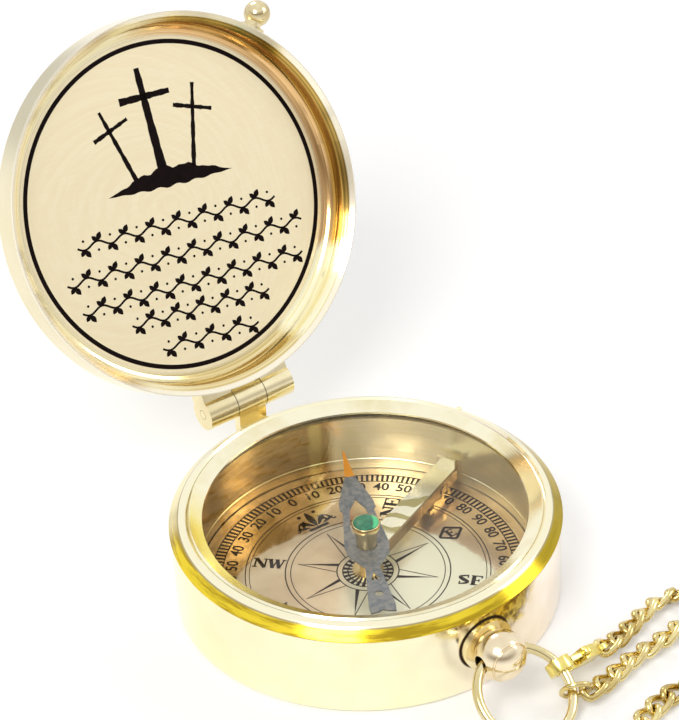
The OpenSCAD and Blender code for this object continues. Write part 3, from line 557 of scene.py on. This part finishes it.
def glass_finish():
    """Clear flat glass: see-through, with a gloss that grows towards grazing views."""
    p = Paint("clear_glass")
    smear = p.noise(p.place()[0], 0.06, 3.0, 0.6)
    clear = p.node("ShaderNodeBsdfTransparent", None, Color=(0.985, 0.99, 0.985))
    gloss = p.node("ShaderNodeBsdfAnisotropic", None, Color=(1.0, 1.0, 1.0))
    p.put(gloss.inputs["Roughness"], 0.02 + smear * 0.03)
    front = 1.0 - Num(p, p.node("ShaderNodeNewGeometry").outputs["Backfacing"])
    edge = Num(p, p.node("ShaderNodeFresnel", None, IOR=1.45).outputs[0]) * front
    both = p.node("ShaderNodeMixShader", None, edge * 0.8, clear.outputs[0], gloss.outputs[0])
    p.put(p.out.inputs[0], both.outputs[0])
    return p.material


def jewel_finish():
    """The green stone: deep green, clouded, with a painted glint near one edge."""
    p = Paint("jewel_green")
    where, x, y = p.place()[:3]
    cloud = p.noise(where, 0.7, 3.0, 0.6)
    # Painted highlight: a light green glint near one edge.
    painted_glint = (x * 0.34 - y * 0.22 + (cloud - 0.5) * 0.5).step(0.42, 0.62)
    green = p.tones(cloud, (0.004, 0.155, 0.066), (0.014, 0.29, 0.14), 0.35, 0.7)
    return p.shell(Base_Color=p.mix(painted_glint, green, (0.08, 0.72, 0.30)), Roughness=0.28, IOR=1.4,
                   Coat_Weight=0.15, Coat_Roughness=0.1)


# One material for each kind of surface, and the nodes of the solids that wear it.
brass_case = case_finish()
brass_lid = lid_finish()
brass_bezel = bezel_finish()
brass_hinge = polished_brass("hinge_brass", (0.98, 0.89, 0.61), (0.76, 0.62, 0.32), 0.12, 0.7)
brass_ball = polished_brass("ball_brass", (0.96, 0.86, 0.58), (0.46, 0.32, 0.10), 0.10, 0.9)
brass_bow = polished_brass("bow_brass", (0.95, 0.83, 0.60), (0.70, 0.54, 0.32), 0.10, 0.7)
brass_ring = polished_brass("ring_brass", (0.92, 0.82, 0.52), (0.62, 0.50, 0.22), 0.10, 0.8)
brass_chain = polished_brass("chain_brass", (0.95, 0.82, 0.42), (0.44, 0.30, 0.07), 0.10, 0.9)
brass_clasp = polished_brass("clasp_brass", (0.94, 0.80, 0.26), (0.66, 0.50, 0.10), 0.12, 0.8)
brass_inner = polished_brass("inner_brass", (0.84, 0.68, 0.36), (0.58, 0.43, 0.18), 0.16, 0.8)
dial_metal = dial_finish()
needle_paint = needle_finish()
lever_brass = lever_finish()
clear_glass = glass_finish()
steel = plain_finish("steel", (0.55, 0.55, 0.56), (0.42, 0.42, 0.43), 0.25, 1.0)
gasket = plain_finish("gasket", (0.42, 0.32, 0.13), (0.30, 0.22, 0.08), 0.5)
dial_ink = plain_finish("dial_ink", (0.020, 0.011, 0.006), (0.040, 0.022, 0.012), 0.6, Specular_IOR_Level=0.15)
lid_ink = plain_finish("lid_ink", (0.003, 0.0008, 0.0008), (0.008, 0.003, 0.003), 0.6, Specular_IOR_Level=0.08)
jewel_red = plain_finish("jewel_red", (0.40, 0.02, 0.04), (0.30, 0.01, 0.03), 0.1)
jewel_green = jewel_finish()

NODE_FINISH = {
    "case_cup": brass_case, "dial_plate": dial_metal, "glass_gasket": gasket, "glass": clear_glass,
    "bezel_ring": brass_bezel, "pivot_post": brass_inner, "pivot_point": steel, "needle_blade": needle_paint,
    "needle_cap": brass_inner, "needle_bearing": jewel_red, "needle_jewel": jewel_green, "lifter_lever": lever_brass,
    "lifter_bracket": brass_inner, "lifter_rivet": brass_inner, "bracket_screws": brass_inner,
    "lifter_spring": brass_inner, "push_pin": brass_hinge, "case_hinge_leaf": brass_hinge, "hinge_pin": brass_hinge,
    "lid_shell": brass_lid, "lid_hinge_leaf": brass_hinge, "lid_ball": brass_ball, "bow_collar": brass_hinge,
    "bow_knob": brass_bow, "bow_ring": brass_ring, "clasp_body": brass_clasp, "clasp_gate": brass_clasp,
    "clasp_rivet": brass_clasp, "clasp_spring": steel, "chain_end_ring": brass_chain,
}
for node_name, finish in NODE_FINISH.items():
    node = nodes[node_name]
    node.data.materials.clear()
    node.data.materials.append(finish)


# The chain: from the clasp to a round coil, and from the coil back to the end ring. Points are in millimetres, the
# coil's start, turn and step in degrees.
ROUTE_IN = [
    (21, -45.1, 3), (25, -44.3, 2.2), (28.5, -43.2, 1.85), (32, -42, 1.85), (36, -40.9, 1.85), (40, -40.4, 1.85),
    (44.5, -41.3, 1.85), (49, -43.3, 1.85), (53.6, -44.9, 1.85),
]
COIL_CENTRE, COIL_OUT, COIL_IN, COIL_Z = (66, -61), 18, 12, 1.85
COIL_START, COIL_TURN, COIL_STEP = 115, 480, 20
ROUTE_OUT = [
    (76.9, -66, 2.6), (74.8, -69.8, 4), (71.2, -72.8, 5.6), (67, -75, 6.4), (62.4, -77.1, 6.5),
    (57.4, -79.2, 5.5), (52, -81.2, 3.5), (46.5, -82.9, 2.1), (40.5, -84.4, 1.85), (34, -85.8, 1.85),
    (27, -86.4, 1.85), (19.5, -85.6, 1.85), (12.4, -82.8, 1.85), (7.6, -77.6, 1.85), (7.2, -71, 1.85),
    (11.2, -66.4, 1.85), (16.6, -64, 1.85), (21.8, -62.4, 1.85), (27.5, -62.3, 1.85), (33, -63.6, 1.85),
    (38.2, -65.2, 1.85), (43.4, -64.9, 1.85), (46.9, -61.6, 1.85), (48, -56.8, 1.85), (46.8, -52, 1.85),
    (43.4, -48.9, 1.85), (38.6, -48.4, 1.85), (34.2, -49, 1.85), (30, -49.5, 1.85), (26, -49.8, 1.85),
    (21.5, -50.8, 1.85), (17, -51.9, 2), (13.9, -52.8, 2.6), (10.9, -53.1, 3.3),
]
# Steps of the curve between two points of the route.
ROUTE_PARTS = 6
# A link's wire, length and width, the distance from one link to the next, and how far each end is twisted.
LINK_WIRE, LINK_L, LINK_W, LINK_PITCH = 1.4, 7.2, 4.6, 4.35
LINK_TWIST = math.radians(-48)
# How far the chain is rolled about its own line, in degrees, at distances along it.
ROLL_AT, ROLL = (0, 8, 18, 45, 80, 300, 318, 334, 347), (0, -25, -42, -48, -5, 5, 30, 26, 0)
# The heading is taken between two points this far before and behind a link; no link lies lower than the gap.
LOOK_AHEAD, FLOOR_GAP = 1.4, 0.04


def smooth_route():
    """A smooth curve through the route's points. Between two of them it is a cubic whose slope at each is half the way
    from the point before it to the point after it. The coil's radius shrinks evenly as it turns."""
    a = np.arange(0, COIL_TURN + 1, COIL_STEP)
    r, at = COIL_OUT + (COIL_IN - COIL_OUT) * a / COIL_TURN, np.radians(COIL_START - a)
    coil_x, coil_y = COIL_CENTRE[0] + r * np.cos(at), COIL_CENTRE[1] + r * np.sin(at)
    k = np.vstack([ROUTE_IN, np.stack([coil_x, coil_y, np.full(len(a), COIL_Z)], -1), ROUTE_OUT])
    n = len(k)
    i = np.repeat(np.arange(n - 1), ROUTE_PARTS)
    t = np.tile(np.arange(ROUTE_PARTS) / ROUTE_PARTS, n - 1)[:, None]
    a, b, c, d = k[np.maximum(i - 1, 0)], k[i], k[i + 1], k[np.minimum(i + 2, n - 1)]
    line = 0.5 * (2 * b + (c - a) * t + (2 * a - 5 * b + 4 * c - d) * t ** 2 + (3 * b - a - 3 * c + d) * t ** 3)
    return np.vstack([line, k[-1]])


def along_line(line, s):
    """Points at the given distances along a line, and its length."""
    far = np.concatenate([[0], np.cumsum(np.linalg.norm(np.diff(line, axis=0), axis=1))])
    return np.stack([np.interp(s, far, line[:, k]) for k in range(3)], -1), far[-1]


def one_link():
    """A link lying along x: an oval whose wire turns about its long line from one end to the other. At x along it the
    oval's plane has turned by the twist times x over half its length, so that each end crosses the next link."""
    bend, straight = (LINK_W - LINK_WIRE) / 2, LINK_L - LINK_W
    u = np.linspace(0, 2 * np.pi, 40, endpoint=False)
    v = np.linspace(0, 2 * np.pi, 10, endpoint=False)
    x = bend * np.cos(u) + straight / 2 * np.clip(np.cos(u) * 2.2, -1, 1)
    y = bend * np.sin(u)
    twist = LINK_TWIST * x / ((LINK_L - LINK_WIRE) / 2)
    centre = np.stack([x, y * np.cos(twist), y * np.sin(twist)], -1)
    tangent = np.roll(centre, -1, 0) - np.roll(centre, 1, 0)
    tangent /= np.linalg.norm(tangent, axis=1)[:, None]
    side = np.cross(tangent, np.stack([0 * x, -np.sin(twist), np.cos(twist)], -1))
    side /= np.linalg.norm(side, axis=1)[:, None]
    up = np.cross(side, tangent)
    wire_side, wire_up = (np.cos(v) * LINK_WIRE / 2)[None, :, None], (np.sin(v) * LINK_WIRE / 2)[None, :, None]
    link = centre[:, None] + side[:, None] * wire_side + up[:, None] * wire_up
    return link.reshape(-1, 3), grid_faces(len(u), len(v), True, True)


def turns_about(axis, angle):
    """A rotation matrix about x, y or z (0, 1 or 2) for each of the angles."""
    i, j = (axis + 1) % 3, (axis + 2) % 3
    matrix = np.zeros((len(angle), 3, 3))
    matrix[:, axis, axis] = 1.0
    matrix[:, i, i] = matrix[:, j, j] = np.cos(angle)
    matrix[:, j, i], matrix[:, i, j] = np.sin(angle), -np.sin(angle)
    return matrix


def chain_points():
    """All links at once: each is rolled about its length, pitched and headed along the route, and lifted where it
    would dip under the floor."""
    line = smooth_route()
    length = along_line(line, [0.0])[1]
    count = round(length / LINK_PITCH)
    s = (np.arange(count) + 0.5) * length / count
    middle = along_line(line, s)[0]
    ahead = along_line(line, s + LOOK_AHEAD)[0] - along_line(line, s - LOOK_AHEAD)[0]
    head = np.arctan2(ahead[:, 1], ahead[:, 0])
    climb = -np.arctan2(ahead[:, 2], np.hypot(ahead[:, 0], ahead[:, 1]))
    roll = np.radians(np.interp(s, ROLL_AT, ROLL))
    link, faces = one_link()
    turn = turns_about(2, head) @ turns_about(1, climb) @ turns_about(0, roll)
    points = np.einsum("nij,kj->nki", turn, link) + middle[:, None]
    points[:, :, 2] += np.maximum(FLOOR_GAP - points[:, :, 2].min(1), 0)[:, None]
    faces = (faces[None] + (np.arange(count) * len(link))[:, None, None]).reshape(-1, 4)
    return points.reshape(-1, 3), faces, line, length


chain_p, chain_f, chain_line, chain_length = chain_points()
chain = make_piece("chain", chain_p, chain_f, brass_chain)
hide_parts("chain_clasp_side", "chain_loop", "chain_corner", "chain_ring_side")
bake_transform(chain)
chain_length * MM
(chain_line * MM).tolist()


# What is printed on the dial. Rings are pairs of radii. Each point of the compass has its angle in degrees, its
# radius, its size and how far it is turned.
SCALE_RINGS = ((30.05, 30.25), (28.05, 28.25), (23.55, 23.75), (22.8, 22.95), (15.8, 16.05), (14.8, 14.98), (5.85, 6.1))
HUB_RINGS = ((4.75, 4.98), (3.72, 3.98), (2.5, 2.95))
COMPASS_POINTS = (("NE", 47.0, 20.1, 4.4, 90), ("SE", 134.8, 20.0, 4.3, 90), ("SW", 225, 19.8, 4.3, -90),
                  ("NW", 313.4, 19.3, 4.0, -90), ("E", 90, 19.5, 3.3, 90), ("S", 180, 19.8, 4.3, 180),
                  ("W", 270, 19.6, 4.3, -90))
CAPITAL_HEIGHT = 0.68


def dial_print():
    """The scale, the points of the compass and the star, flat on the dial. The numbers go from 0 up to 90, back to 0,
    and so again round the other half."""
    ink = Ink()
    t = DIAL_TURN
    for r0, r1 in SCALE_RINGS:
        ink.ring(r0, r1)
    ink.spokes(t + np.radians(np.arange(0, 360, 2)), 28.1, 30.2, 0.42, 0.5)
    for degrees in range(0, 360, 10):
        half = degrees % 180
        ink.mark(str(min(half, 180 - half)), 3.2, 26.45, t + math.radians(degrees))
    for name, at, r, size, turn in COMPASS_POINTS:
        strokes, wide = serif_word(name)
        tall = size * CAPITAL_HEIGHT
        out, side = polar(t + math.radians(at))
        for line, width in strokes:
            p = (line - np.array([wide / 2, 0.5])) * tall @ rotation(math.radians(turn))
            ink.stroke(out * r + p[:, :1] * side + p[:, 1:] * out, width * tall)

    # The frame round the letter at east.
    box = np.array([(0, 2.6), (2.1, 0), (0, -2.6), (-2.1, 0), (0, 2.6)])
    out, side = polar(t + math.pi / 2)
    for start, end in zip(box[:-1], box[1:]):
        ends = np.linspace(start, end, 4)
        ink.stroke(out * 19.5 + ends[:, :1] * side + ends[:, 1:] * out, 0.55)

    # A plain three-petalled flower stands for north.
    out, side = polar(t)
    upright = math.pi / 2 - t
    ink.leaf(out * 17.3, 5.2, 0.7, upright)
    s = np.linspace(0, 1, 20)[:, None]
    for sign in (-1, 1):
        for r, away, long, short, lean in ((17.6, 0.4, 3.4, 0.42, -0.7), (17.6, 1.4, 3.0, 0.34, -1.25),
                                           (18.0, 2.7, 2.6, 0.42, 0.45)):
            ink.leaf(out * r + side * sign * away, long, short, upright + sign * lean)
        ink.dot(out * 21.6 + side * sign * 1.7, 0.42)
        ink.stroke(out * (17.7 + 2.1 * np.sin(s * 3.0)) + side * sign * (0.5 + 3.4 * s), 0.34)
        ink.stroke(out * (18.6 + 1.1 * np.sin(s * 5.6)) + side * sign * (2.2 + 2.2 * s), 0.28)
    ink.spokes([t], 16.6, 17.3, 4.4, 4.4)

    # Eight long points, every other one longer: a fine line on the left, a dark blade on the right.
    base, s = 6.0, np.linspace(0, 1, 8)[:, None]
    for k in range(8):
        out, side = polar(t + k * math.pi / 4)
        tip = 14.2 if k % 2 == 0 else 13.7
        ink.add([out * base + side * 0.5, out * tip, out * base + side * 1.3], [(0, 1, 2)])
        ink.stroke(out * (base + (tip - base) * s) - side * 1.25 * (1 - s), 0.2)

    # The hub: two rows of pale beads, left open between dark spokes and rings.
    for r0, r1 in HUB_RINGS:
        ink.ring(r0, r1)
    ink.spokes(t + np.radians(np.arange(0, 360, 15)), 2.9, 4.9, 0.42, 0.78)
    return ink


ink = dial_print()
make_piece("dial_print", ink.xyz(DIAL_Z + PRINT_LIFT), ink.faces, dial_ink, "case", smooth=False)

# What is engraved in the lid, in the closed lid's frame: the bars of the crosses, with their ends, their widths and a
# seed for their rough edges, and the rows of leaves, with their ends and how many leaves they have.
BARS = (((0.2, -7.6), (1.6, -27.5), 2.0, 1.2, 0.3), ((-4.2, -22.4), (6.9, -21.2), 1.5, 1.1, 1.1),
        ((-6.0, -7.2), (-9.0, -22.1), 1.0, 0.7, 2.0), ((-12.0, -17.0), (-3.7, -19.0), 0.9, 0.7, 2.9),
        ((6.8, -5.4), (12.2, -21.0), 1.0, 0.7, 3.7), ((6.7, -18.2), (14.5, -14.8), 0.9, 0.7, 4.4))
VINES = (((-22.6, 0.9), (21.6, 6.2), 15), ((-27.2, 6.9), (25.7, 12.6), 18), ((-26.0, 13.0), (23.6, 18.6), 17),
         ((-16.9, 19.0), (13.9, 22.9), 11), ((-12.3, 25.6), (9.4, 28.2), 7))


def lid_engraving():
    """Three plain crosses on a mound and rows of running leaves, inside a dark ring."""
    ink = Ink()
    ink.ring(31.38, 32.28)

    def bar(p0, p1, w0, w1, seed):
        """A straight bar whose width goes evenly from w0 to w1, with two small waves added."""
        s = np.linspace(0, 1, 26)[:, None]
        line = np.array(p0) + (np.array(p1) - np.array(p0)) * s
        wide = w0 + (w1 - w0) * s[:, 0] + 0.10 * np.sin(s[:, 0] * 23 + seed) + 0.07 * np.sin(s[:, 0] * 51 + seed * 2)
        ink.stroke(line, wide)

    def vine(p0, p1, leaves):
        """A stem that is a sine wave about a straight line, with a pair of leaves and a berry at each of its crests."""
        p0, p1 = np.array(p0, float), np.array(p1, float)
        length = np.linalg.norm(p1 - p0)
        run = (p1 - p0) / length
        across = np.array([-run[1], run[0]])
        turn = math.atan2(run[1], run[0])
        s = np.linspace(0, 1, leaves * 8 + 1)
        wave = 0.6 * np.sin(s * leaves * np.pi)
        ink.stroke(p0 + run * (s * length)[:, None] + across * wave[:, None], 0.42)
        for k in range(leaves):
            at = (k + 0.5) / leaves
            sign = 1 if k % 2 == 0 else -1
            foot = p0 + run * at * length + across * 0.6 * sign
            ink.leaf(foot, 1.95, 0.56, turn + sign * 1.0)
            ink.leaf(foot, 1.5, 0.46, turn + sign * 2.3)
            ink.dot(foot - across * sign * 1.75, 0.27)

    for one in BARS:
        bar(*one)
    s = np.linspace(0, 1, 40)
    base, up, arch = np.stack([-12.9 + 27.6 * s, -5.9 + 3.7 * s], -1), np.array([0.13, -0.99]), np.sin(np.pi * s)
    rise = 3.4 * arch ** 1.2 + (0.35 * np.sin(s * 31) + 0.2 * np.sin(s * 67)) * arch
    dip = 0.5 * arch * (1 + 0.5 * np.sin(s * 43))
    ink.add(np.concatenate([base + up * rise[:, None], base - up * dip[:, None]]), grid_faces(2, len(s)))
    for one in VINES:
        vine(*one)
    return ink


ink = lid_engraving()
engraved = open_lid(ink.xyz(LID_FLOOR - PRINT_LIFT))
make_piece("lid_engraving", engraved, [f[::-1] for f in ink.faces], lid_ink, "lid", smooth=False)

# The needle's cap, a sleeve that widens upwards into the cup of the stone, with a bore for the pivot, and the stone, a
# disc whose crown is a quarter of an ellipse turned round. Profiles are (radius, height) in millimetres.
CAP_PROFILE = [(1.72, 9.3), (1.97, 9.3), (1.98, 10.6), (2.02, 11.6), (2.14, 12.6), (2.36, 13.5), (2.58, 14.1),
               (2.68, 14.5), (2.7, 15.35), (2.62, 15.46), (2.47, 15.46), (2.46, 14.52), (1.72, 14.0)]
STONE_R, STONE_FOOT, STONE_SHOULDER, STONE_CROWN, POLE_R = 2.45, 14.55, 15.5, 0.42, 0.001


def needle_part(name, profile, steps, closed, finish, node_name):
    """A turned piece that rides on the needle and stands in for one of its solids."""
    points, faces = turned(profile, steps, closed)
    piece = make_piece(name, points, [face[::-1] for face in faces], finish, "needle")
    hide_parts(node_name)


arc = np.linspace(0, math.pi / 2, 14)
crown = [(STONE_R * math.cos(a), STONE_SHOULDER + STONE_CROWN * math.sin(a)) for a in arc[:-1]]
stone_profile = [(POLE_R, STONE_FOOT), (STONE_R, STONE_FOOT), *crown, (POLE_R, STONE_SHOULDER + STONE_CROWN)]
needle_part("needle_sleeve", CAP_PROFILE, 56, True, brass_inner, "needle_cap")
needle_part("needle_stone", stone_profile, 48, False, jewel_green, "needle_jewel")

# The clasp's edges: corners nearer than the first are merged, faces flatter than the second are joined, and edges
# sharper than the third are rounded.
MERGE_M, FLAT_ANGLE, SHARP_ANGLE = 2e-6, math.radians(3), math.radians(35)


def softened(node_name, width, segments, body):
    """A copy of a sharp-edged solid with its edges rounded by a bevel of the given width, in millimetres."""
    mesh = nodes[node_name].data.copy()
    mesh.name = node_name + "_soft"
    work = bmesh.new()
    work.from_mesh(mesh)
    bmesh.ops.remove_doubles(work, verts=work.verts, dist=MERGE_M)
    bmesh.ops.dissolve_limit(work, angle_limit=FLAT_ANGLE, verts=work.verts, edges=work.edges)
    sharp = [e for e in work.edges if len(e.link_faces) == 2 and e.calc_face_angle() > SHARP_ANGLE]
    bmesh.ops.bevel(work, geom=sharp, offset=width * MM, segments=segments, affect="EDGES", profile=0.5,
                    clamp_overlap=True)
    work.to_mesh(mesh)
    work.free()
    mesh.polygons.foreach_set("use_smooth", np.full(len(mesh.polygons), True))
    piece = bpy.data.objects.new(node_name + "_soft", mesh)
    bpy.context.scene.collection.objects.link(piece)
    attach(piece, body)
    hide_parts(node_name)


softened("clasp_body", 0.38, 3, "bow")
softened("clasp_gate", 0.16, 2, "gate")


def studio_air():
    """The world: half grey as light, white where the camera sees it or through glass, and for reflections white with a
    brown-black band low at the front, which gives polished brass its dark streaks."""
    p = Paint("studio", sky=True)
    path = p.node("ShaderNodeLightPath")
    seen, glossy, through = [Num(p, path.outputs[k]) for k in ("Is Camera Ray", "Is Glossy Ray", "Is Transmission Ray")]
    way = p.node("ShaderNodeTexCoord").outputs["Generated"]
    wx, wy, wz = [Num(p, o) for o in p.node("ShaderNodeSeparateXYZ", None, way).outputs]
    low, front = 1.0 - (wz - 0.35).size().step(0.0, 0.35), (wx * -0.56 + wy * -0.83).step(-0.2, 0.9)
    reflected = p.mix(low * front * 0.75, WHITE, (0.16, 0.11, 0.06))
    plain = p.mix((seen + through).step(0.0, 1.0), (0.5, 0.5, 0.5), WHITE)
    sky = p.node("ShaderNodeBackground", None, p.mix(glossy, plain, reflected), 1.0)
    p.put(p.out.inputs[0], sky.outputs[0])
    return p.material


def studio_floor():
    """The floor's material: plain pale, with a little light of its own for the camera and for reflections."""
    p = Paint("studio_floor")
    path = p.node("ShaderNodeLightPath")
    watched = Num(p, path.outputs["Is Camera Ray"]) + Num(p, path.outputs["Is Glossy Ray"])
    pale = p.node("ShaderNodeBsdfDiffuse", None, Color=(0.86, 0.86, 0.86))
    glow = p.node("ShaderNodeEmission", None, Color=WHITE, Strength=watched * 0.22)
    both = p.node("ShaderNodeAddShader", None, pale.outputs[0], glow.outputs[0])
    p.put(p.out.inputs[0], both.outputs[0])
    return p.material


bpy.context.scene.world = studio_air()
ends = ((-1, -1), (1, -1), (1, 1), (-1, 1))
floor = make_piece("studio_floor", [(x * FLOOR_HALF, y * FLOOR_HALF, 0) for x, y in ends], [(0, 1, 2, 3)],
                   studio_floor(), smooth=False)


def lamp(name, place, aim, size, power, colour=(1, 1, 1)):
    """A square soft lamp that looks at a point. Distances in millimetres."""
    data = bpy.data.lights.new(name, "AREA")
    data.shape, data.size, data.energy, data.color = "SQUARE", size * MM, power, colour
    light = bpy.data.objects.new(name, data)
    bpy.context.scene.collection.objects.link(light)
    light.location = Vector(place) * MM
    light.rotation_mode = "QUATERNION"
    light.rotation_quaternion = (Vector(aim) - Vector(place)).to_track_quat("-Z", "Y")


lamp("key_lamp", (-420, -240, 620), (0, 0, 20), 300, 2.6, (1.0, 0.98, 0.95))
lamp("fill_lamp", (520, -260, 420), (0, 0, 20), 260, 0.8)
lamp("back_lamp", (120, 520, 460), (0, 20, 20), 220, 0.8)

# The camera, fitted to the photograph: where it looks, which way is up, its place and its focal length in pixels.
ahead, upward = Vector((0.45413, 0.67338, -0.58337)).normalized(), Vector((0.3666, 0.4556, 0.8111))
upward = (upward - ahead * upward.dot(ahead)).normalized()
right = ahead.cross(upward).normalized()
camera_data = bpy.data.cameras.new("camera")
camera_data.sensor_fit = "HORIZONTAL"
camera_data.sensor_width = SENSOR_MM
camera_data.lens = FOCAL_PIXELS / PHOTO_WIDTH * SENSOR_MM
camera_data.clip_start, camera_data.clip_end = 0.01, 20.0
camera = bpy.data.objects.new("camera", camera_data)
bpy.context.scene.collection.objects.link(camera)
turn = Matrix((right, upward, -ahead)).transposed().to_4x4()
camera.matrix_world = Matrix.Translation(Vector(CAMERA_PLACE) * MM) @ turn
bpy.context.scene.camera = camera
bpy.context.scene.view_settings.view_transform = "Standard"
